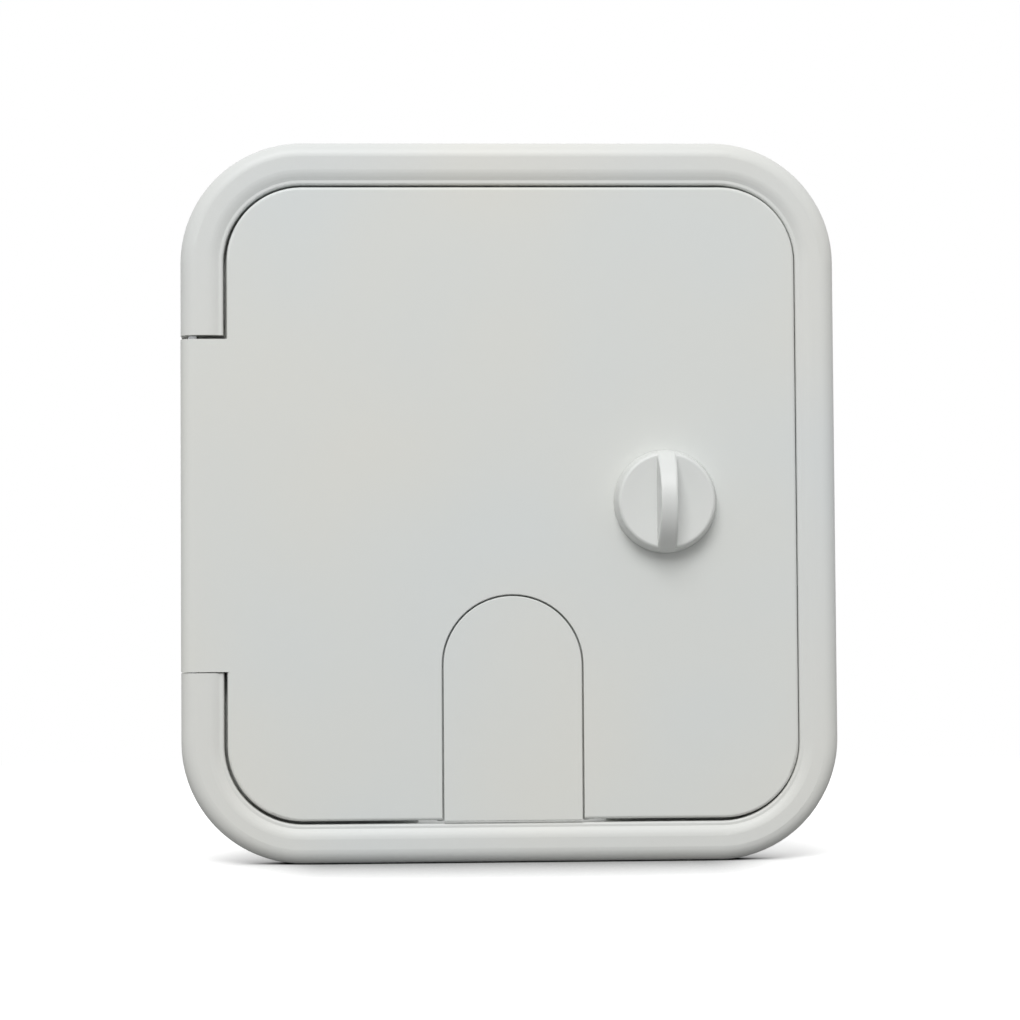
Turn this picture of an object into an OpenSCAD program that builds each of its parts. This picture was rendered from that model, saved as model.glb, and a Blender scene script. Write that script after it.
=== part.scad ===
// Power cord hatch for a caravan wall: a moulded frame whose sleeve goes through the wall,
// a side-hung door with a turn latch, and a flap at the bottom that closes round the cord.
// Everything is drawn as seen from outside: x to the right, y up, z out from the wall.
// Each piece is then stood up, so that in the model Z is up and Y runs into the wall.

/* [Frame] */
// Overall width of the frame
frame_w = 194.6; // [180:0.1:230]
// Overall height of the frame
frame_h = 213.8; // [200:0.1:250]
// Radius of the frame's outer corners
frame_r = 36; // [34:0.5:40]
// Mean width of the bar, from the frame's outer edge to the door opening
bar_w = 12.3; // [11.5:0.1:14]
// How far the bar is wider than that on the hinge side, and narrower on the latch side
hinge_side_w = 0.5; // [0:0.1:0.6]
// How far the bar is wider than that at the top, and narrower at the bottom
top_side_w = 0.6; // [0:0.1:0.6]
// Height of the bar's crown above the wall
bar_h = 11; // [10.8:0.1:13]
// Radius of the bar's outer edge
bar_edge_r = 4.5; // [3.5:0.1:5]
// Radius of the turn from the crown into the slope
crown_r = 6; // [2:0.5:8]
// Width of the slope between the crown and the lip
slope_w = 2.1; // [1.6:0.1:2.4]
// Width of the lip beside the door
lip_w = 1.3; // [1:0.1:1.5]
// Radius of the lip's edge
lip_r = 0.7; // [0.2:0.1:0.9]
// Depth of the frame's lip below the crown
lip_drop = 0.8; // [0.5:0.1:1.2]
// Depth of the door's face below the crown
face_drop = 0.1; // [0:0.1:0.8]
// Wall thickness of the frame moulding
shell_t = 2.4; // [1.8:0.1:3]
// Thickness of the flange that lies on the wall
flange_t = 2.5; // [2:0.1:3]
// Radius of the door opening's corners
opening_r = 23.2; // [20:0.1:24]
// Width of the land behind the door that carries the seal and the fixing screws
land_w = 14; // [13:0.5:18]
// Depth of the sleeve behind the wall's face
sleeve_d = 16; // [8:1:40]
// Thickness of the ribs across the hollow bar
bar_rib_t = 1.6; // [1.2:0.1:2.4]

/* [Fixing screws] */
// Diameter of the screw holes
screw_hole_d = 4.2; // [3:0.1:5]
// Distance from the door opening's edge to the screw centres
screw_inset = 3.8; // [3.5:0.1:4.5]
// Height between the two holes on each side
screw_span_y = 120; // [110:1:130]
// Width between the two holes at top and bottom
screw_span_x = 100; // [90:1:110]

/* [Door] */
// Gap between the door and the frame, on the hinge side and at the bottom
door_gap = 1; // [0.6:0.1:1.5]
// Gap between the door and the frame at the top
top_gap = 0.8; // [0.5:0.1:1.5]
// Gap between the door and the frame on the latch side
latch_gap = 0.3; // [0.3:0.1:1.5]
// Thickness of the door's panel
door_t = 2.6; // [2:0.1:3]
// Radius of the door's front edge
door_edge_r = 0.9; // [0.3:0.1:1.2]
// Thickness of the skirt round the door's edge
skirt_t = 2; // [1.5:0.1:2.5]
// Depth of the skirt behind the panel
skirt_d = 2.4; // [1:0.1:2.6]
// Thickness of the ribs behind the door
door_rib_t = 1.6; // [1.2:0.1:2.4]
// Depth of the ribs behind the panel
door_rib_d = 4.4; // [2:0.1:4.8]
// Distance between the ribs behind the door
door_rib_pitch = 27; // [20:1:40]

/* [Hinge] */
// Radius of the door's hinge knuckle
knuckle_r = 3.8; // [3.4:0.1:4]
// Height of the notch in the frame that takes the hinge tongue
notch_h = 99.8; // [80:0.1:120]
// Gap between the tongue's lower end and the notch, where the door sits on its hinge
tongue_gap_low = 0.3; // [0.3:0.1:1]
// Gap between the tongue's upper end and the notch
tongue_gap_high = 1.2; // [0.5:0.1:2]
// Clearance round the knuckle in its trough
trough_gap = 0.6; // [0.4:0.1:0.8]
// Diameter of the hinge pins
hinge_pin_d = 3; // [2:0.1:3.4]
// Length of each hinge pin in the door's knuckle
pin_in_door = 14; // [10:1:25]
// Length of each hinge pin in the frame's bar
pin_in_frame = 8; // [6:1:15]
// Length of solid bar at each end of the notch
hinge_block = 11; // [10:1:18]
// Clearance between a pin and its hole, on the radius
pin_gap = 0.05; // [0.02:0.01:0.1]

/* [Seal] */
// Width of the foam strip on the land
seal_w = 4; // [3:0.1:4.4]
// Distance from the door opening's edge to the strip
seal_inset = 8.2; // [7.8:0.1:8.6]
// Gap between the strip and the closed door
seal_gap = 0.3; // [0.1:0.1:0.5]

/* [Cord flap] */
// Width of the arched opening in the door
arch_w = 41.9; // [30:0.1:46]
// Height from the door's bottom edge to the crown of the arch
arch_h = 66.3; // [50:0.1:72]
// Radius of the front edges of the arch and the flap
arch_edge_r = 0.3; // [0.2:0.1:0.5]
// Gap between the flap and the door
flap_gap = 0.5; // [0.3:0.1:0.8]
// Gap between the flap's bottom edge and the frame
flap_sill_gap = 0.6; // [0.5:0.1:1]
// Wall thickness of the flap
flap_t = 2.3; // [1.6:0.1:2.5]
// Width of the flap's rim that laps behind the door
flap_lap = 2; // [1:0.1:3]
// Thickness of the flap's rim
flap_rim_t = 1.4; // [1:0.1:2]
// Gap between the flap's rim and the back of the door
flap_rim_gap = 0.3; // [0.2:0.1:0.5]
// Height of the flap's pin above the crown of the arch
flap_pin_up = 3.75; // [3:0.05:6]
// Distance from the back of the door to the centre of the flap's pin
flap_pin_back = 3.6; // [3.4:0.1:5]
// Diameter of the flap's pin
flap_pin_d = 2.5; // [2:0.1:3]
// Radius of the ears that hold the pin
ear_r = 3; // [2.5:0.1:3.2]
// Thickness of each ear
ear_t = 2.4; // [2:0.1:4]
// Distance from the centre to the inner face of each ear of the flap
flap_ear_x = 7.5; // [5:0.1:9]
// Gap between the flap's ears and the door's ears
ear_gap = 0.6; // [0.3:0.1:1.5]
// Room beside the flap in the frame's cord chute
chute_gap = 5.5; // [5:0.1:8]

/* [Latch] */
// Distance from the knob's centre to the door's right edge
knob_inset = 39.1; // [32:0.1:45]
// Diameter of the knob at its base
knob_d = 30.6; // [26:0.1:34]
// Diameter of the knob at its front
knob_front_d = 28.8; // [22:0.1:30]
// Height of the knob's disc
knob_disc_h = 5.6; // [5:0.1:8]
// Depth of the dish in the knob's front
knob_dish = 0.4; // [0.2:0.1:0.8]
// Overall height of the knob above the door
knob_h = 14.2; // [11:0.1:16]
// Radius of the knob's front edge
knob_edge_r = 1; // [0.5:0.1:2]
// Thickness of the grip rib at the disc
grip_t = 5.9; // [4:0.1:8]
// Thickness of the grip rib at its crest
grip_crest_t = 4.7; // [3:0.1:6]
// Radius of the grip rib's edges
grip_edge_r = 1.2; // [0.4:0.1:1.5]
// Gap between the knob and the door
knob_gap = 0.2; // [0.1:0.1:0.5]
// Diameter of the knob's shaft
shaft_d = 10; // [9.5:0.1:12]
// Diameter of the boss behind the door
boss_d = 16; // [15:0.5:20]
// Length of the boss behind the wall's face
boss_back = 1.2; // [1:0.1:4]
// Size of the square that drives the cam, across its flats
drive_w = 6.6; // [5:0.1:6.8]
// Thickness of the cam
cam_t = 2.5; // [2:0.1:4]
// Width of the cam's arm
cam_w = 10; // [8:0.5:12]
// Clearance between the cam and the boss, the strike and its square
cam_gap = 0.3; // [0.2:0.1:0.6]
// Gap between the cam's tip and the sleeve
cam_tip_gap = 1.2; // [0.8:0.1:3]
// Reach of the strike from the sleeve
strike_reach = 6.5; // [5:0.1:8]
// Height of the strike
strike_h = 18; // [10:1:30]
// Diameter of the cam's screw
cam_screw_d = 4; // [3:0.5:4.5]
// Diameter of the screw's head
cam_head_d = 8; // [6:0.1:9]
// Height of the screw's head
cam_head_h = 2.4; // [1.5:0.1:3]
// Diameter of the washer under the screw's head
washer_d = 10; // [9.2:0.1:12]
// Thickness of the washer
washer_t = 0.8; // [0.5:0.1:1.5]

/* [Hidden] */

$fn = 96;
over = 1; // how far a cutter runs past what it cuts

face_z = bar_h - face_drop; // the door's face
lip_z = bar_h - lip_drop; // the frame's lip
panel_z = face_z - door_t; // the back of the door's panel
open_w = frame_w - 2 * bar_w;
open_h = frame_h - 2 * bar_w;
sleeve_w = open_w - 2 * land_w; // inside the sleeve
sleeve_h = open_h - 2 * land_w;
sleeve_r = opening_r - land_w;
door_w = open_w - door_gap - latch_gap;
door_h = open_h - door_gap - top_gap;
door_r = opening_r - door_gap;
door_x = (door_gap - latch_gap) / 2; // the door's centre, from the centre of its opening
door_y = (door_gap - top_gap) / 2;
door_left = door_x - door_w / 2;
door_bottom = door_y - door_h / 2;

frame_x = -hinge_side_w; // the frame's centre, from the centre of the door opening
frame_y = top_side_w;
hinge_x = frame_x - frame_w / 2 + knuckle_r;
hinge_z = face_z - knuckle_r;
tongue_low = -notch_h / 2 + tongue_gap_low;
tongue_high = notch_h / 2 - tongue_gap_high;

arch_r = arch_w / 2;
arch_y = door_bottom + arch_h - arch_r; // centre of the arch's round
flap_r = arch_r - flap_gap;
flap_bottom = flap_sill_gap - open_h / 2;
flap_back_z = panel_z - flap_rim_gap - flap_rim_t;
flap_pin_y = arch_y + arch_r + flap_pin_up;
flap_pin_z = panel_z - flap_pin_back;
door_ear_x = flap_ear_x + ear_t + ear_gap;
chute_w = 2 * (flap_r + flap_lap + chute_gap);

knob_x = door_x + door_w / 2 - knob_inset;
knob_z = face_z + knob_gap;
cam_z = -boss_back - cam_gap; // the cam's face against the boss
cam_len = sleeve_w / 2 - cam_tip_gap - knob_x;
drive_end = cam_z - cam_t + cam_gap; // the square ends inside the cam, so the washer clamps it

// Stands a piece drawn from the front up against the wall
module stand_up() {
    rotate([90, 0, 0]) children();
}

// Rounded rectangle on the centre
module rounded(w, h, r) {
    square([w - 2 * r, h], center = true);
    square([w, h - 2 * r], center = true);
    for (x = [-1, 1], y = [-1, 1])
        translate([x * (w / 2 - r), y * (h / 2 - r)]) circle(r);
}

// Runs a profile round a rounded rectangle: its x is measured in from the edge, its y out from the wall
module run_round(w, h, r) {
    for (side = [0:3]) {
        across = side % 2 == 0 ? w : h;
        along = side % 2 == 0 ? h : w;
        rotate([0, 0, 90 * side]) {
            translate([across / 2, 0, 0]) mirror([1, 0, 0]) rotate([90, 0, 0])
                linear_extrude(along - 2 * r, center = true) children();
            translate([across / 2 - r, along / 2 - r, 0])
                rotate_extrude(angle = 90) translate([r, 0]) mirror([1, 0]) children();
        }
    }
}

// What a cutter takes off to round the edge at the origin of a piece that lies to its left and below
module edge_cut(r) {
    difference() {
        translate([-r, -r]) square(r + over);
        translate([-r, -r]) circle(r);
    }
}

// Arch with a round top and straight sides
module arch(r, bottom) {
    translate([0, arch_y]) circle(r);
    translate([-r, bottom]) square([2 * r, arch_y - bottom]);
}

// Runs a profile up one side of an arch, over it and down the other: its x is measured out from the edge
module run_arch(r, bottom) {
    translate([0, arch_y, 0]) rotate_extrude(angle = 180) translate([r, 0]) children();
    for (s = [0, 1]) mirror([s, 0, 0]) translate([r, arch_y, 0]) rotate([90, 0, 0])
        linear_extrude(arch_y - bottom) children();
}

// Outer part of the bar's profile, with x measured in from the frame's edge
module bar_profile() {
    translate([bar_edge_r, bar_h - bar_edge_r]) circle(bar_edge_r);
    polygon([
        [0, 0],
        [0, bar_h - bar_edge_r],
        [bar_edge_r, bar_h],
        [0.6 * bar_w, bar_h],
        [0.6 * bar_w, 0]
    ]);
}

// Inner part of the bar's profile, with x measured in from the opening's edge: crown, slope and lip
module lip_profile() {
    slope_a = atan(lip_drop / slope_w);
    crown_x = -lip_w - slope_w - crown_r * tan(slope_a / 2);
    reach = 0.6 * bar_w;
    intersection() {
        translate([crown_x, bar_h - crown_r]) circle(crown_r);
        translate([-reach, lip_z]) square([reach, lip_drop]);
    }
    translate([-lip_r, lip_z - lip_r]) circle(lip_r);
    polygon([
        [-reach, 0],
        [-reach, bar_h],
        [crown_x, bar_h],
        [crown_x + crown_r * sin(slope_a), bar_h - crown_r + crown_r * cos(slope_a)],
        [-lip_w, lip_z],
        [-lip_r, lip_z],
        [0, lip_z - lip_r],
        [0, flange_t],
        [over, flange_t],
        [over, 0]
    ]);
}

// Profile of the hollow in the bar, open towards the wall
module hollow_profile() {
    inner_r = bar_edge_r - shell_t;
    wall_x = bar_w - shell_t;
    translate([bar_edge_r, bar_h - bar_edge_r]) circle(inner_r);
    polygon([
        [shell_t, -over],
        [shell_t, bar_h - bar_edge_r],
        [bar_edge_r, bar_h - shell_t],
        [wall_x - lip_w, bar_h - shell_t],
        [wall_x, lip_z - shell_t],
        [wall_x, -over]
    ]);
}

// The hollow, with the ribs and the two hinge blocks left standing in it
module bar_hollow() {
    ribs_y = [-0.75, -0.5, 0.5, 0.75];
    ribs_x = [-0.5, 0, 0.5];
    straight_y = frame_h / 2;
    straight_x = frame_w / 2;
    difference() {
        translate([frame_x, frame_y, 0]) run_round(frame_w, frame_h, frame_r) hollow_profile();
        translate([hinge_x - knuckle_r, -notch_h / 2 - hinge_block, -2 * over])
            cube([bar_w, notch_h + 2 * hinge_block, bar_h + 2 * over]);
        for (s = ribs_y)
            translate([-frame_w, s * straight_y - bar_rib_t / 2, -2 * over])
                cube([2 * frame_w, bar_rib_t, bar_h]);
        for (s = ribs_x)
            translate([s * straight_x - bar_rib_t / 2, -frame_h, -2 * over])
                cube([bar_rib_t, 2 * frame_h, bar_h]);
    }
}

// Outline of the sleeve with its cord chute, grown by a wall
module sleeve_outline(wall = 0) {
    rounded(sleeve_w + 2 * wall, sleeve_h + 2 * wall, sleeve_r + wall);
    translate([-chute_w / 2 - wall, -open_h / 2 - wall])
        square([chute_w + 2 * wall, land_w + sleeve_r + 2 * wall]);
}

// Centres of the fixing screws: two on each side, two at the top and two at the bottom
module at_screws() {
    side_x = open_w / 2 - screw_inset;
    end_y = open_h / 2 - screw_inset;
    for (x = [-1, 1], y = [-1, 1]) {
        translate([x * side_x, y * screw_span_y / 2, 0]) children();
        translate([x * screw_span_x / 2, y * end_y, 0]) children();
    }
}

// Ledge inside the sleeve that the cam turns behind, with a ramp at each end
module strike() {
    ramp = strike_h / 6;
    translate([sleeve_w / 2 - strike_reach, 0, 0])
        rotate([0, 90, 0])
            linear_extrude(strike_reach + shell_t / 2)
                polygon([
                    [-flange_t, -strike_h / 2],
                    [-flange_t, strike_h / 2],
                    [0, strike_h / 2],
                    [boss_back, strike_h / 2 - ramp],
                    [boss_back, -strike_h / 2 + ramp],
                    [0, -strike_h / 2]
                ]);
}

module frame() {
    color("#E3E4E0") stand_up() {
        difference() {
            union() {
                translate([frame_x, frame_y, 0]) run_round(frame_w, frame_h, frame_r) bar_profile();
                run_round(open_w, open_h, opening_r) lip_profile();
                linear_extrude(flange_t) rounded(open_w - over, open_h - over, opening_r - over / 2);
                translate([0, 0, -sleeve_d]) linear_extrude(sleeve_d + over) sleeve_outline(shell_t);
            }
            bar_hollow();
            translate([0, 0, -sleeve_d - over]) linear_extrude(sleeve_d + bar_h) sleeve_outline();
            translate([hinge_x - knuckle_r - over, -notch_h / 2, flange_t])
                cube([bar_w + hinge_side_w + 2 * over, notch_h, bar_h]);
            translate([hinge_x, 0, hinge_z]) rotate([90, 0, 0])
                cylinder(r = knuckle_r + trough_gap, h = notch_h, center = true);
            for (s = [-1, 1])
                translate([hinge_x, s * (notch_h + pin_in_frame) / 2, hinge_z]) rotate([90, 0, 0])
                    cylinder(d = hinge_pin_d + 2 * pin_gap, h = pin_in_frame + 2 * over, center = true);
            at_screws() translate([0, 0, -over]) cylinder(d = screw_hole_d, h = flange_t + 2 * over);
        }
        strike();
    }
}

module door_seal() {
    outer_w = open_w - 2 * seal_inset;
    outer_h = open_h - 2 * seal_inset;
    outer_r = opening_r - seal_inset;
    gap_w = chute_w + 2 * shell_t;
    color("#3A3B3A") stand_up() difference() {
        translate([0, 0, flange_t]) run_round(outer_w, outer_h, outer_r)
            square([seal_w, panel_z - seal_gap - flange_t]);
        translate([-gap_w / 2, -open_h / 2, 0]) cube([gap_w, open_h / 4, bar_h]);
    }
}

// One hinge pin, half in the frame's block and half in the door's knuckle
module hinge_pin(side) {
    inner = side > 0 ? tongue_high - pin_in_door : -notch_h / 2 - pin_in_frame;
    outer = side > 0 ? notch_h / 2 + pin_in_frame : tongue_low + pin_in_door;
    color("#B9BCC0") stand_up() translate([hinge_x, outer, hinge_z]) rotate([90, 0, 0])
        cylinder(d = hinge_pin_d, h = outer - inner);
}

module hinge_pin_upper() {
    hinge_pin(1);
}

module hinge_pin_lower() {
    hinge_pin(-1);
}

// Profile of the door's edge: rounded front corner, panel and skirt
module door_edge_profile() {
    rim_w = 2 * skirt_t;
    translate([door_edge_r, face_z - door_edge_r]) circle(door_edge_r);
    polygon([
        [0, panel_z - skirt_d],
        [0, face_z - door_edge_r],
        [door_edge_r, face_z],
        [rim_w, face_z],
        [rim_w, panel_z],
        [skirt_t, panel_z],
        [skirt_t, panel_z - skirt_d]
    ]);
}

// Profile of the hinge tongue: a knuckle at its outer edge, level with the door's face
module tongue_profile() {
    circle(knuckle_r);
    translate([0, knuckle_r - door_t]) square([door_left - hinge_x + skirt_t, door_t]);
}

module tongue() {
    translate([hinge_x, tongue_high, hinge_z]) rotate([90, 0, 0])
        linear_extrude(tongue_high - tongue_low) tongue_profile();
}

// Ribs behind the panel, inside the sleeve
module door_ribs() {
    reach_x = sleeve_w / 2 - strike_reach - 2 * door_gap;
    reach_y = sleeve_h / 2 - 2 * door_gap;
    lines_x = floor(reach_x / door_rib_pitch);
    lines_y = floor(reach_y / door_rib_pitch);
    translate([0, 0, panel_z - door_rib_d]) linear_extrude(door_rib_d) {
        for (i = [-lines_x:lines_x])
            translate([i * door_rib_pitch, 0]) square([door_rib_t, 2 * reach_y], center = true);
        for (j = [-lines_y:lines_y])
            translate([0, j * door_rib_pitch]) square([2 * reach_x, door_rib_t], center = true);
    }
}

// One ear that holds the flap's pin: a round end, joined to its piece by the root that it is given
module ear(x) {
    translate([x, flap_pin_y, flap_pin_z]) rotate([90, 0, 90]) linear_extrude(ear_t) {
        circle(ear_r);
        children();
    }
}

module door() {
    relief = arch_r + flap_lap + flap_gap;
    knob_bore = shaft_d + 2 * pin_gap;
    color("#E1E2DE") stand_up() difference() {
        union() {
            difference() {
                union() {
                    translate([door_x, door_y, 0]) run_round(door_w, door_h, door_r) door_edge_profile();
                    door_ribs();
                    translate([0, 0, panel_z - door_rib_d]) linear_extrude(door_rib_d)
                        arch(relief + door_rib_t, door_bottom + skirt_t);
                }
                translate([0, 0, panel_z - 2 * door_rib_d]) linear_extrude(2 * door_rib_d)
                    arch(relief, door_bottom - over);
                translate([-door_ear_x - ear_t, flap_pin_y - 2 * ear_r, panel_z - 2 * door_rib_d])
                    cube([2 * (door_ear_x + ear_t), 4 * ear_r, 2 * door_rib_d]);
            }
            translate([door_x, door_y, panel_z]) linear_extrude(door_t)
                rounded(door_w - 2 * skirt_t, door_h - 2 * skirt_t, door_r - skirt_t);
            tongue();
            translate([knob_x, 0, -boss_back]) cylinder(d = boss_d, h = panel_z + boss_back + door_t / 2);
            for (s = [0, 1]) mirror([s, 0, 0]) ear(door_ear_x)
                translate([-ear_r, 0]) square([2 * ear_r, flap_pin_back + door_t / 2]);
        }
        translate([0, 0, panel_z - over]) linear_extrude(door_t + 2 * over)
            arch(arch_r, door_bottom - over);
        translate([0, 0, face_z]) run_arch(arch_r, door_bottom - over) mirror([1, 0]) edge_cut(arch_edge_r);
        translate([knob_x, 0, -boss_back - over]) cylinder(d = knob_bore, h = face_z + boss_back + 2 * over);
        translate([0, flap_pin_y, flap_pin_z]) rotate([0, 90, 0])
            cylinder(d = flap_pin_d + 2 * pin_gap, h = frame_w / 2, center = true);
        for (end = [[tongue_high, -1], [tongue_low, 1]])
            translate([hinge_x, end[0] + end[1] * (pin_in_door + over) / 2, hinge_z]) rotate([90, 0, 0])
                cylinder(d = hinge_pin_d + 2 * pin_gap, h = pin_in_door + 3 * over, center = true);
    }
}

// The flap's ears and the rib that runs down from each, kept inside the flap's outline
module flap_ears() {
    arm = 3 * ear_r + flap_lap;
    for (s = [0, 1]) mirror([s, 0, 0]) ear(flap_ear_x)
        translate([-arm, -ear_r]) square([arm, flap_back_z + flap_rim_t - flap_pin_z + ear_r]);
    intersection() {
        translate([0, 0, flap_back_z]) linear_extrude(face_z - flap_back_z - flap_t / 2)
            arch(flap_r - flap_t / 2, flap_bottom + flap_t / 2);
        for (s = [0, 1]) mirror([s, 0, 0])
            translate([flap_ear_x, flap_bottom, 0]) cube([ear_t, flap_pin_y - flap_bottom, face_z]);
    }
}

module cord_flap() {
    color("#E1E2DE") stand_up() difference() {
        union() {
            difference() {
                union() {
                    translate([0, 0, flap_back_z]) linear_extrude(face_z - flap_back_z)
                        arch(flap_r, flap_bottom);
                    translate([0, 0, flap_back_z]) linear_extrude(flap_rim_t)
                        arch(flap_r + flap_lap, flap_bottom);
                }
                translate([0, 0, flap_back_z - over])
                    linear_extrude(face_z - flap_t - flap_back_z + over)
                        arch(flap_r - flap_t, flap_bottom + flap_t);
            }
            flap_ears();
        }
        translate([0, 0, face_z]) run_arch(flap_r, flap_bottom - over) edge_cut(arch_edge_r);
        translate([0, flap_bottom, face_z]) rotate([90, 0, -90])
            linear_extrude(2 * flap_r + over, center = true) edge_cut(arch_edge_r);
        translate([0, flap_pin_y, flap_pin_z]) rotate([0, 90, 0])
            cylinder(d = flap_pin_d + 2 * pin_gap, h = frame_w / 2, center = true);
    }
}

module flap_pin() {
    color("#B9BCC0") stand_up() translate([0, flap_pin_y, flap_pin_z]) rotate([0, 90, 0])
        cylinder(d = flap_pin_d, h = 2 * (door_ear_x + ear_t), center = true);
}

// The knob's disc, turned about its shaft: straight drafted side, round edge and dished front
module knob_disc() {
    base_r = knob_d / 2;
    front_r = knob_front_d / 2;
    rim_r = front_r - knob_edge_r;
    dish_r = (rim_r * rim_r + knob_dish * knob_dish) / (2 * knob_dish);
    rotate_extrude() difference() {
        union() {
            translate([rim_r, knob_disc_h - knob_edge_r]) circle(knob_edge_r);
            polygon([
                [0, 0],
                [base_r, 0],
                [front_r, knob_disc_h - knob_edge_r],
                [rim_r, knob_disc_h],
                [0, knob_disc_h]
            ]);
        }
        intersection() {
            translate([0, knob_disc_h - knob_dish + dish_r]) circle(dish_r, $fn = 6 * $fn);
            translate([0, knob_disc_h - 2 * knob_dish]) square([rim_r, 3 * knob_dish]);
        }
    }
}

// The grip rib: a coin on edge with rounded corners, sunk in the disc and narrowed towards its crest
module grip() {
    rim_z = knob_disc_h - knob_edge_r;
    half_chord = knob_front_d / 2;
    rise = knob_h - rim_z;
    coin_r = (half_chord * half_chord + rise * rise) / (2 * rise);
    draft = (grip_t - grip_crest_t) / 2;
    intersection() {
        translate([-grip_t / 2, 0, knob_h - coin_r]) rotate([0, 90, 0]) rotate_extrude() {
            square([coin_r - grip_edge_r, grip_t]);
            translate([0, grip_edge_r]) square([coin_r, grip_t - 2 * grip_edge_r]);
            for (y = [grip_edge_r, grip_t - grip_edge_r])
                translate([coin_r - grip_edge_r, y]) circle(grip_edge_r);
        }
        rotate([90, 0, 0]) linear_extrude(knob_d + over, center = true) polygon([
            [-grip_t / 2, 0],
            [grip_t / 2, 0],
            [grip_t / 2, rim_z],
            [grip_t / 2 - draft, knob_h],
            [grip_t / 2 - draft, knob_h + over],
            [draft - grip_t / 2, knob_h + over],
            [draft - grip_t / 2, knob_h],
            [-grip_t / 2, rim_z]
        ]);
        cylinder(d1 = knob_d, d2 = knob_front_d - knob_edge_r, h = knob_h + over);
    }
}

module knob() {
    color("#E6E7E3") stand_up() translate([knob_x, 0, 0]) difference() {
        union() {
            translate([0, 0, knob_z]) knob_disc();
            translate([0, 0, knob_z]) grip();
            translate([0, 0, cam_z]) cylinder(d = shaft_d, h = knob_z - cam_z + over);
            translate([-drive_w / 2, -drive_w / 2, drive_end]) cube([drive_w, drive_w, cam_z - drive_end + over]);
        }
        translate([0, 0, drive_end - over]) cylinder(d = cam_screw_d, h = shaft_d + over);
    }
}

// The cam points up at rest, which is unlatched, and turns to the right under the strike
module latch_cam() {
    hub_r = shaft_d * 0.75;
    color("#C2C4C7") stand_up() translate([knob_x, 0, cam_z - cam_t]) linear_extrude(cam_t) difference() {
        union() {
            circle(hub_r);
            translate([-cam_w / 2, 0]) square([cam_w, cam_len - cam_w / 2]);
            translate([0, cam_len - cam_w / 2]) circle(cam_w / 2);
        }
        square(drive_w + cam_gap, center = true);
    }
}

module cam_washer() {
    color("#B9BCC0") stand_up() translate([knob_x, 0, cam_z - cam_t - washer_t]) difference() {
        cylinder(d = washer_d, h = washer_t);
        translate([0, 0, -over]) cylinder(d = cam_screw_d + 2 * pin_gap, h = washer_t + 2 * over);
    }
}

module cam_screw() {
    head_z = cam_z - cam_t - washer_t;
    color("#B9BCC0") stand_up() translate([knob_x, 0, head_z]) {
        translate([0, 0, -cam_head_h]) cylinder(d = cam_head_d, h = cam_head_h);
        cylinder(d = cam_screw_d - 2 * pin_gap, h = shaft_d);
    }
}

frame();
door_seal();
hinge_pin_upper();
hinge_pin_lower();
door();
cord_flap();
flap_pin();
knob();
latch_cam();
cam_washer();
cam_screw();
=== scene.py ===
import bpy
import numpy as np
from mathutils import Euler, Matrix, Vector


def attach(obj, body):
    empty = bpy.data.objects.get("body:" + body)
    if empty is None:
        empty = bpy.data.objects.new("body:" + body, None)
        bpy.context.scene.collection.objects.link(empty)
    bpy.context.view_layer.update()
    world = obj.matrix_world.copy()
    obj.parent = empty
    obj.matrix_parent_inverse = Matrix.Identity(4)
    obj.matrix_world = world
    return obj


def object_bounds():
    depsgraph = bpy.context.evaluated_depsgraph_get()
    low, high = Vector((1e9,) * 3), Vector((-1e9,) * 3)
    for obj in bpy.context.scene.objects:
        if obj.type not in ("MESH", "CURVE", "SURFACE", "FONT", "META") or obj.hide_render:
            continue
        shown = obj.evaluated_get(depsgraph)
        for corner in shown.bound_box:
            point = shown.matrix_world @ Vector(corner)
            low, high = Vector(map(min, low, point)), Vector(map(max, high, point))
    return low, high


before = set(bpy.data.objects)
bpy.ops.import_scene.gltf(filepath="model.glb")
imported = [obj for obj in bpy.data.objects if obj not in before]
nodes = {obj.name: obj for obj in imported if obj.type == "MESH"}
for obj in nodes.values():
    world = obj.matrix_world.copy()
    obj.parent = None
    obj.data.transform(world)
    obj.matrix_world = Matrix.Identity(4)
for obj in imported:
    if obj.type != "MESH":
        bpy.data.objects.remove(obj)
cad_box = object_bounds()
scene = bpy.context.scene

# Frame moulding.
# One piece of white ASA, injection moulded in a spark-eroded tool, so it is satin with a very
# fine grain. It lies on the wall, with its sleeve through the cut-out.


def tint(code):
    """Linear RGBA of an sRGB hex value."""
    c = np.array([int(code[i : i + 2], 16) for i in (1, 3, 5)]) / 255.0
    lin = np.where(c <= 0.04045, c / 12.92, ((c + 0.055) / 1.055) ** 2.4)
    return (*lin.tolist(), 1.0)


def new_material(name):
    """Empty material, and its tree."""
    mat = bpy.data.materials.new(name)
    mat.use_nodes = True
    mat.node_tree.nodes.clear()
    return mat, mat.node_tree


def add(tree, kind, sockets=None, **settings):
    """One node of a kind with its settings. Each of its sockets, by name or number, is linked
    from the output or set to the plain value that is given for it."""
    node = tree.nodes.new(kind)
    for key, value in settings.items():
        setattr(node, key, value)
    for key, value in (sockets or {}).items():
        if isinstance(value, bpy.types.NodeSocket):
            tree.links.new(value, node.inputs[key])
        else:
            node.inputs[key].default_value = value
    return node


# A colour mix takes its two colours at inputs 6 and 7 and gives the mixed one at output 2.
FIRST, SECOND, MIXED = 6, 7, 2


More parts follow.
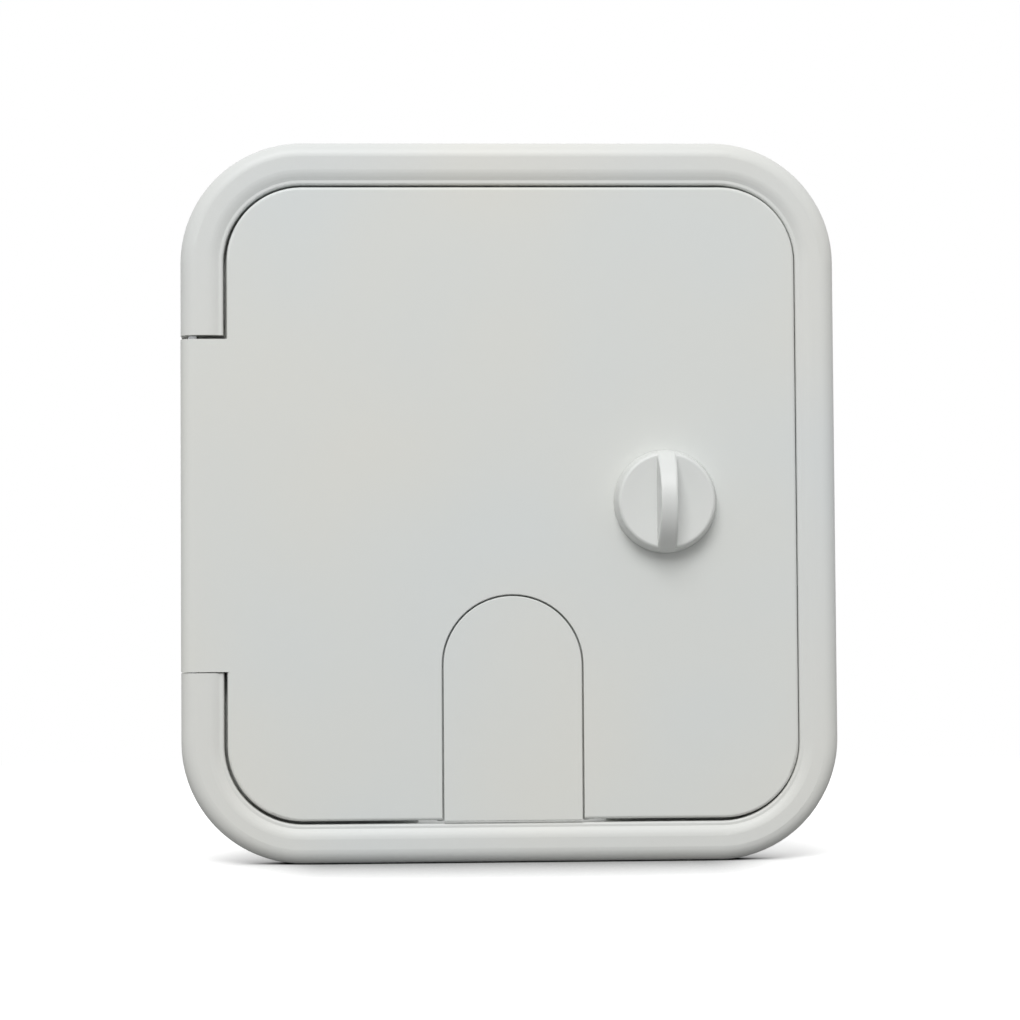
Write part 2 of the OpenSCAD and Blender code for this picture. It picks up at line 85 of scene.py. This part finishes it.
def asa_plastic(name, warm, cool, grain_mm, rough):
    """Moulded satin ASA. Two near tints drift into each other over some 70 mm, as the resin
    leaves them in a large moulding, so a wide face isn't one dead white. A grain from the
    tool's spark erosion swings the roughness and lifts the surface a little, which spreads
    the highlights softly. The real grain is about 0.1 mm wide, too fine for the render, so it
    is drawn two to four times as coarse."""
    drift_mm = 70
    drift_low, drift_high = 0.28, 0.72  # where the noise is all warm and all cool
    rough_swing = 0.05
    grain_strength, grain_depth = 0.25, 0.00003
    mat, tree = new_material(name)
    place = add(tree, "ShaderNodeTexCoord").outputs["Object"]
    drift = add(
        tree,
        "ShaderNodeTexNoise",
        {"Vector": place, "Scale": 1000 / drift_mm, "Detail": 1.0},
    )
    spread = add(
        tree,
        "ShaderNodeMapRange",
        {"Value": drift.outputs["Fac"], "From Min": drift_low, "From Max": drift_high},
    )
    colour = add(
        tree,
        "ShaderNodeMix",
        {"Factor": spread.outputs["Result"], FIRST: tint(warm), SECOND: tint(cool)},
        data_type="RGBA",
    )
    grain = add(
        tree,
        "ShaderNodeTexNoise",
        {"Vector": place, "Scale": 1000 / grain_mm, "Detail": 2.0},
    )
    sheen = add(
        tree,
        "ShaderNodeMapRange",
        {
            "Value": grain.outputs["Fac"],
            "To Min": rough - rough_swing,
            "To Max": rough + rough_swing,
        },
    )
    bump = add(
        tree,
        "ShaderNodeBump",
        {
            "Height": grain.outputs["Fac"],
            "Strength": grain_strength,
            "Distance": grain_depth,
        },
    )
    skin = add(
        tree,
        "ShaderNodeBsdfPrincipled",
        {
            "Base Color": colour.outputs[MIXED],
            "Roughness": sheen.outputs["Result"],
            "Normal": bump.outputs["Normal"],
            "IOR": 1.52,
        },
    )
    add(tree, "ShaderNodeOutputMaterial", {"Surface": skin.outputs["BSDF"]})
    return mat


def dress(name, mat):
    """Gives a CAD node one material over all of it."""
    nodes[name].data.materials.clear()
    nodes[name].data.materials.append(mat)


frame_asa = asa_plastic(
    "white_asa_satin_moulded", warm="#DEDED9", cool="#DADDDC", grain_mm=0.35, rough=0.44
)
dress("frame", frame_asa)

# Foam strip round the opening.
# Black EPDM sponge, cut from a roll and stuck to the land. Its open cells make it matt and
# pitted, a soft dark line. They are drawn at about twice their real width, so that they show.
cell_mm = 0.7
pit_strength, pit_depth = 0.6, 0.0002
foam, tree = new_material("black_epdm_sponge")
place = add(tree, "ShaderNodeTexCoord").outputs["Object"]
cells = add(tree, "ShaderNodeTexVoronoi", {"Vector": place, "Scale": 1000 / cell_mm})
# The tint is darkest at the middle of each cell, the bottom of its pit, and lighter at its rim:
# painted shade in the pits.
painted_shade = add(
    tree,
    "ShaderNodeMix",
    {"Factor": cells.outputs["Distance"], FIRST: tint("#1E1E1D"), SECOND: tint("#3A3A38")},
    data_type="RGBA",
)
pits = add(
    tree,
    "ShaderNodeBump",
    {"Height": cells.outputs["Distance"], "Strength": pit_strength, "Distance": pit_depth},
)
skin = add(
    tree,
    "ShaderNodeBsdfPrincipled",
    {
        "Base Color": painted_shade.outputs[MIXED],
        "Normal": pits.outputs["Normal"],
        "Roughness": 0.92,
        "IOR": 1.5,
    },
)
add(tree, "ShaderNodeOutputMaterial", {"Surface": skin.outputs["BSDF"]})
dress("door_seal", foam)

# Fixing screws.
# Eight small pan head screws of stainless steel, cold headed with a cross recess, through the
# 4.2 mm holes of the frame's land into the wall. Only the heads show, with the door open.


def drawn_steel(name, along, light, dark, rough):
    """Stainless steel finished in one direction. Lines 40 times as long as they are wide shift
    its tone and its roughness a little, so a highlight breaks up into streaks along the piece.
    The real lines are some hundredths of a millimetre wide, too fine for the render, so they
    are drawn 0.12 mm wide."""
    line_mm, stretch = 0.12, 40.0
    rough_swing = 0.08
    line_strength, line_depth = 0.2, 0.00002
    mat, tree = new_material(name)
    place = add(tree, "ShaderNodeTexCoord").outputs["Object"]
    lines = add(
        tree,
        "ShaderNodeMapping",
        {"Vector": place, "Scale": [1.0 if axis == along else stretch for axis in "xyz"]},
    )
    noise = add(
        tree,
        "ShaderNodeTexNoise",
        {"Vector": lines.outputs["Vector"], "Scale": 1000 / (stretch * line_mm), "Detail": 2.0},
    )
    colour = add(
        tree,
        "ShaderNodeMix",
        {"Factor": noise.outputs["Fac"], FIRST: tint(dark), SECOND: tint(light)},
        data_type="RGBA",
    )
    sheen = add(
        tree,
        "ShaderNodeMapRange",
        {
            "Value": noise.outputs["Fac"],
            "To Min": rough - rough_swing,
            "To Max": rough + rough_swing,
        },
    )
    bump = add(
        tree,
        "ShaderNodeBump",
        {"Height": noise.outputs["Fac"], "Strength": line_strength, "Distance": line_depth},
    )
    skin = add(
        tree,
        "ShaderNodeBsdfPrincipled",
        {
            "Base Color": colour.outputs[MIXED],
            "Roughness": sheen.outputs["Result"],
            "Normal": bump.outputs["Normal"],
            "Metallic": 1.0,
        },
    )
    add(tree, "ShaderNodeOutputMaterial", {"Surface": skin.outputs["BSDF"]})
    return mat


def rings_to_tip(name, rings, tip):
    """Mesh of rings of points (v, u, 3). Quads join each ring to the next, all the way round,
    and triangles close the last one over the tip."""
    rows, cols = rings.shape[:2]
    v, u = np.meshgrid(np.arange(rows - 1), np.arange(cols), indexing="ij")
    on = (u + 1) % cols
    quads = [v * cols + u, v * cols + on, (v + 1) * cols + on, (v + 1) * cols + u]
    last = (rows - 1) * cols + np.arange(cols)
    fan = [last, np.roll(last, -1), np.full(cols, rows * cols)]
    mesh = bpy.data.meshes.new(name)
    mesh.from_pydata(
        rings.reshape(-1, 3).tolist() + [tip.tolist()],
        [],
        np.stack(quads, -1).reshape(-1, 4).tolist() + np.stack(fan, -1).tolist(),
    )
    mesh.update()
    return mesh


def pan_head(name, x, z, face_y, head_d, head_h):
    """Pan head with a cross recess, lying on a face. A point is at a share r of the radius, from
    0 to 1, and an angle a, all the way round. It stands 0.45 of the head's height above the
    face, plus (1 - r^4)^(1/2) of the other 0.55. The recess goes 0.6 of the height deep
    inside a cross, whose arms are 0.13 of the radius wide to each side of their middle and
    reach 0.56 of it out. Their walls slope in by 0.04 at the sides and 0.05 at the ends."""
    rim_share, dome_share, recess_share = 0.45, 0.55, 0.6
    arm_half, side_slope = 0.13, 0.04
    arm_reach, end_slope = 0.56, 0.05
    a = np.linspace(0, 2 * np.pi, 72, endpoint=False)[None, :]
    recessed, plain = np.linspace(0.02, 0.62, 26), np.linspace(0.66, 1.0, 14)
    r = np.concatenate([recessed, plain])[:, None]
    dome = np.sqrt(np.clip(1 - r**4, 0, 1)) * head_h * dome_share + head_h * rim_share
    px, pz = r * np.cos(a), r * np.sin(a)
    near = np.minimum(np.abs(px), np.abs(pz))
    far = np.maximum(np.abs(px), np.abs(pz))
    in_arm = np.clip((arm_half - near) / side_slope, 0, 1)
    cross = in_arm * np.clip((arm_reach - far) / end_slope, 0, 1)
    height = dome - cross * head_h * recess_share
    grid = np.stack([x + px * head_d / 2, face_y - height, z + pz * head_d / 2], -1)
    foot = grid[-1:].copy()
    foot[..., 1] = face_y
    return rings_to_tip(name, np.concatenate([grid, foot])[::-1], tip=grid[0].mean(0))


steel = drawn_steel(
    "stainless_a2_cold_headed", along="x", light="#C9CACB", dark="#A9ABAD", rough=0.30
)
land_y = -0.0025  # the land's face, a flange's thickness outside the wall
side_x, side_z = 0.0812, 0.060  # holes of the land's two sides, from the opening's centre
end_x, end_z = 0.050, 0.0908  # holes of its two ends
screw_places = [
    (sx * hole_x, sz * hole_z)
    for hole_x, hole_z in ((side_x, side_z), (end_x, end_z))
    for sx in (-1, 1)
    for sz in (-1, 1)
]
for i, (x, z) in enumerate(screw_places):
    mesh = pan_head(f"fixing_screw_{i + 1}", x, z, land_y, head_d=0.0066, head_h=0.0021)
    screw = bpy.data.objects.new(mesh.name, mesh)
    scene.collection.objects.link(screw)
    mesh.materials.append(steel)
    mesh.shade_smooth()
    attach(screw, "frame")

# Hinge pins.
# Two 3 mm pins of drawn stainless wire, pushed through the frame's blocks into the door's
# knuckle. The drawing leaves them shinier than the screws, with upright streaks.
pin_steel = drawn_steel(
    "stainless_wire_drawn", along="z", light="#C4C6C8", dark="#A4A6A9", rough=0.26
)
dress("hinge_pin_upper", pin_steel)
dress("hinge_pin_lower", pin_steel)

# Door.
# The frame's white ASA, moulded in a tool of its own as a flat panel with ribs, boss and knuckle
# behind. Its grain is finer and closer, so its wide face looks a little more matt.
door_asa = asa_plastic(
    "white_asa_satin_moulded_door", warm="#DFDFD9", cool="#DADEDD", grain_mm=0.3, rough=0.48
)
dress("door", door_asa)

# Cord flap and its pin.
# A small arched lid moulded in the door's resin and finish, hung inside the door on a pin of
# drawn stainless wire. The pin lies across the door, and so do its streaks.
flap_pin_steel = drawn_steel(
    "stainless_wire_drawn_across", along="x", light="#C4C6C8", dark="#A4A6A9", rough=0.26
)
dress("cord_flap", door_asa)
dress("flap_pin", flap_pin_steel)

# Knob.
# Turned by hand, with its shaft through the door's boss. It is moulded in the door's white ASA
# from a small tool with a finer finish, so it has a little more sheen than the door.
knob_asa = asa_plastic(
    "white_asa_semi_gloss_moulded", warm="#DFDFDA", cool="#DBDEDD", grain_mm=0.2, rough=0.42
)
dress("knob", knob_asa)

# Latch.
# A cam stamped from stainless sheet, held on the knob's square by a screw and a washer of the
# fixing screws' steel. The sheet is brushed along the cam, so it is a little duller than they are.
cam_steel = drawn_steel(
    "stainless_sheet_brushed", along="z", light="#C6C8C9", dark="#9FA2A4", rough=0.34
)
dress("latch_cam", cam_steel)
dress("cam_washer", steel)
dress("cam_screw", steel)

# Floor and backdrop.
# White card under the hatch, which stands on the lower edge of its frame. It is lit until it
# washes out into the white backdrop. Close to the hatch a painted shadow is left on it, drawn
# into its colour and its glow from how much of its surroundings is open.
card_half = 4.0
floor_z = cad_box[0][2]
floor = bpy.data.objects.new("floor", bpy.data.meshes.new("floor"))
floor.data.from_pydata(
    [(sx * card_half, sy * card_half, floor_z) for sx, sy in ((-1, -1), (1, -1), (1, 1), (-1, 1))],
    [],
    [(0, 1, 2, 3)],
)
scene.collection.objects.link(floor)
card, tree = new_material("white_card")
ray = add(tree, "ShaderNodeLightPath")
place = add(tree, "ShaderNodeTexCoord").outputs["Object"]
# A shadow is painted into the card where the hatch shelters it. Under the frame's straight edge
# it is black where no more than 0.30 of its surroundings within 100 mm is open. Towards the round
# corners, which rise off the card, the painted shadow gets weaker, and past them it stays above
# half.
straight_half, corner_end = 0.055, 0.100
black_under, black_beyond = 0.30, -1.0
along = add(tree, "ShaderNodeSeparateXYZ", {"Vector": place})
off_centre = add(tree, "ShaderNodeMath", {0: along.outputs["X"]}, operation="ABSOLUTE")
under = add(
    tree,
    "ShaderNodeMapRange",
    {
        "Value": off_centre.outputs[0],
        "From Min": straight_half,
        "From Max": corner_end,
        "To Min": black_under,
        "To Max": black_beyond,
    },
    interpolation_type="SMOOTHSTEP",
)
shelter = add(tree, "ShaderNodeAmbientOcclusion", {"Distance": 0.1}, samples=16)
painted_shade = add(
    tree,
    "ShaderNodeMapRange",
    {"Value": shelter.outputs["AO"], "From Min": under.outputs["Result"]},
)
# What the camera sees is the card with a glow of its own that lifts it to a near white, both
# carrying the painted shadow, and further out the white of the backdrop.
glow_level = 0.4
fade_from, fade_to = 0.30, 0.70
# The card's colour and its glow's strength both take the painted shadow.
paper = add(tree, "ShaderNodeBsdfDiffuse", {"Color": painted_shade.outputs["Result"]})
glow = add(
    tree,
    "ShaderNodeEmission",
    {"Strength": painted_shade.outputs["Result"], "Color": (glow_level, glow_level, glow_level, 1)},
)
near_white = add(tree, "ShaderNodeAddShader", {0: paper.outputs[0], 1: glow.outputs[0]})
reach = add(tree, "ShaderNodeVectorMath", {0: place}, operation="LENGTH")
fade = add(
    tree,
    "ShaderNodeMapRange",
    {"Value": reach.outputs["Value"], "From Min": fade_from, "From Max": fade_to},
)
white = add(tree, "ShaderNodeEmission", {"Color": tint("#FFFFFF"), "Strength": 1.0})
seen = add(
    tree,
    "ShaderNodeMixShader",
    {0: fade.outputs["Result"], 1: near_white.outputs[0], 2: white.outputs[0]},
)
# What lights the hatch from below is a mid grey card, so its underside stays in shade.
bounce = add(tree, "ShaderNodeBsdfDiffuse", {"Color": tint("#989898")})
surface = add(
    tree,
    "ShaderNodeMixShader",
    {0: ray.outputs["Is Camera Ray"], 1: bounce.outputs[0], 2: seen.outputs[0]},
)
add(tree, "ShaderNodeOutputMaterial", {"Surface": surface.outputs[0]})
floor.data.materials.append(card)

# Light.
# A pale room that is brighter towards its ceiling, with one large soft box in front of the
# hatch, high up and a little to its left, and a weaker one behind it that only lights its back.
wall_level, ceiling_level = 0.32, 0.60
ceiling_from = 0.8  # the upward part of a direction from which on it is all ceiling
world = bpy.data.worlds.new("pale_room")
scene.world = world
world.use_nodes = True
tree = world.node_tree
tree.nodes.clear()
# Camera, glossy and transmission rays see the room as plain white.
ray = add(tree, "ShaderNodeLightPath")
shown = add(
    tree,
    "ShaderNodeMath",
    {0: ray.outputs["Is Camera Ray"], 1: ray.outputs["Is Glossy Ray"]},
    operation="MAXIMUM",
)
shown = add(
    tree,
    "ShaderNodeMath",
    {0: shown.outputs[0], 1: ray.outputs["Is Transmission Ray"]},
    operation="MAXIMUM",
)
place = add(tree, "ShaderNodeTexCoord").outputs["Generated"]
height = add(tree, "ShaderNodeSeparateXYZ", {"Vector": place})
room = add(
    tree,
    "ShaderNodeMapRange",
    {
        "Value": height.outputs["Z"],
        "From Min": 0.0,
        "From Max": ceiling_from,
        "To Min": wall_level,
        "To Max": ceiling_level,
    },
)
level = add(
    tree,
    "ShaderNodeMapRange",
    {"Value": shown.outputs[0], "To Min": room.outputs["Result"]},
)
sky = add(
    tree,
    "ShaderNodeBackground",
    {"Strength": level.outputs["Result"], "Color": tint("#FFFFFF")},
)
add(tree, "ShaderNodeOutputWorld", {"Surface": sky.outputs["Background"]})


def soft_box(name, side, watts, place):
    """Square soft box with a side in metres, at a place and turned to the hatch's centre."""
    lamp = bpy.data.lights.new(name, "AREA")
    lamp.shape = "SQUARE"
    lamp.size = side
    lamp.energy = watts
    box = bpy.data.objects.new(name, lamp)
    box.location = place
    box.rotation_euler = (-Vector(place)).to_track_quat("-Z", "Y").to_euler()
    scene.collection.objects.link(box)
    return box


soft_box("soft_box_front", side=2.6, watts=144.0, place=(-0.594, -3.366, 3.078))
rear = soft_box("soft_box_rear", side=1.0, watts=24.0, place=(0.9, 2.6, 0.45))
rear.visible_glossy = False  # no glint of its own, so the gap under the flap stays dark

# Camera.
# A short telephoto from 0.86 m, a little left of the middle and below it, looking slightly up.
# Its place and turn are fitted to the outline of the frame and of the door in the photograph.
camera = bpy.data.cameras.new("camera")
camera.sensor_width = 36.0
camera.lens = 101.188
camera.clip_start = 0.01
camera.clip_end = 50.0
view = bpy.data.objects.new("camera", camera)
view.location = (-0.0373, -0.85785, -0.0374)
view.rotation_euler = Euler((1.6121522, 0.0067218, -0.0431505))
scene.collection.objects.link(view)
scene.camera = view

scene.view_settings.view_transform = "Standard"
